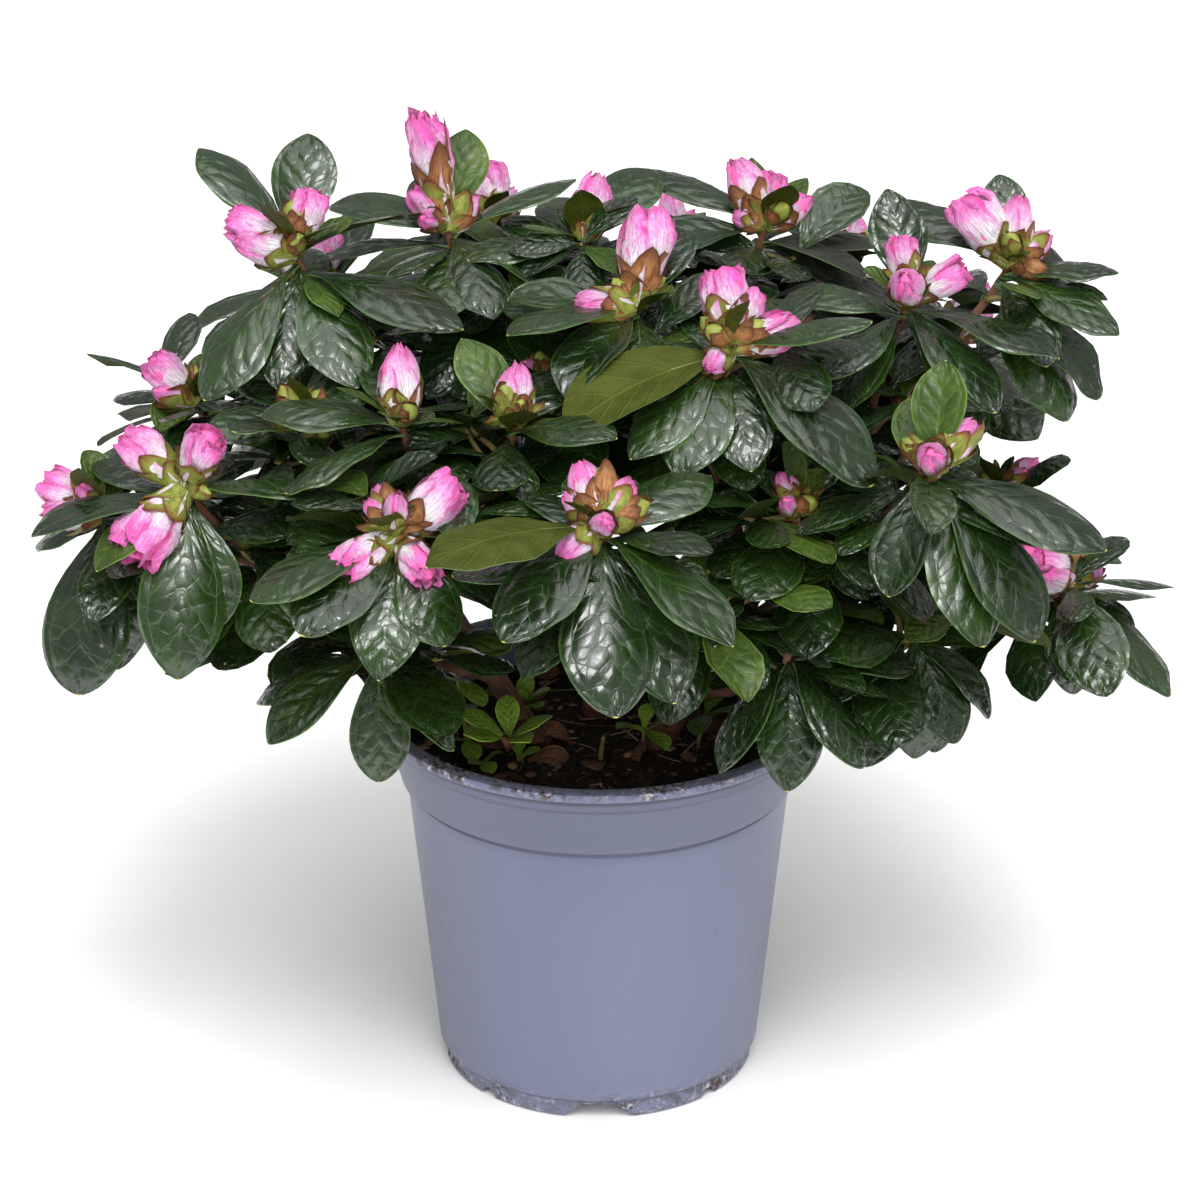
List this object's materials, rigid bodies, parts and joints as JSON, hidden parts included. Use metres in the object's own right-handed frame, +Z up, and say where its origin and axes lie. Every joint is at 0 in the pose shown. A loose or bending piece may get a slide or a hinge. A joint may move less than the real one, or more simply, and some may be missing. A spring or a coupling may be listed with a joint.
{
  "type": "potted azalea shrub",
  "caption": "Evergreen azalea in bud, in a nursery pot: woody stems, boughs and masses of leathery leaves and pink buds",
  "frame": {"origin": "on the ground, on the axis of the pot, in the plane of the underside of its foot ring", "axes": "+Z up along the pot's axis, -Y towards the front of the plant, +X to the right as seen from the front"},
  "size_m": [0.3666, 0.3114, 0.321],
  "materials": {
    "pot": "satin blue-grey moulded polypropylene, slightly dusty with peat at the rim and foot",
    "soil": "matt, near-black moist peat with fibres and dead leaves",
    "bark": "rough red-brown bark with shallow fissures",
    "leaf": "glossy dark green leather-like leaves with sunken veins; buds of crumpled pink petals in green and brown scales"
  },
  "bodies": {
    "root": {"bough_back_east_low": "bark", "bough_back_east_top": "bark", "bough_back_low": "bark", "bough_back_top": "bark", "bough_back_west_low": "bark", "bough_back_west_top": "bark", "bough_basal": "bark", "bough_east_front": "bark", "bough_east_low": "bark", "bough_east_tip": "bark", "bough_east_top": "bark", "bough_front": "bark", "bough_front_west": "bark", "bough_inner_back": "bark", "bough_inner_east": "bark", "bough_inner_top": "bark", "bough_top_east": "bark", "bough_top_front": "bark", "bough_top_west": "bark", "bough_west_low": "bark", "bough_west_tip": "bark", "bough_west_top": "bark", "leaves_back_east_low": "leaf", "leaves_back_east_top": "leaf", "leaves_back_low": "leaf", "leaves_back_top": "leaf", "leaves_back_west_low": "leaf", "leaves_back_west_top": "leaf", "leaves_basal": "leaf", "leaves_east_front": "leaf", "leaves_east_low": "leaf", "leaves_east_tip": "leaf", "leaves_east_top": "leaf", "leaves_front": "leaf", "leaves_front_west": "leaf", "leaves_inner_back": "leaf", "leaves_inner_east": "leaf", "leaves_inner_top": "leaf", "leaves_top_east": "leaf", "leaves_top_front": "leaf", "leaves_top_west": "leaf", "leaves_west_low": "leaf", "leaves_west_tip": "leaf", "leaves_west_top": "leaf", "pot": "pot", "soil": "soil", "stem_back": "bark", "stem_east": "bark", "stem_west": "bark"}
  },
  "joints": []
}
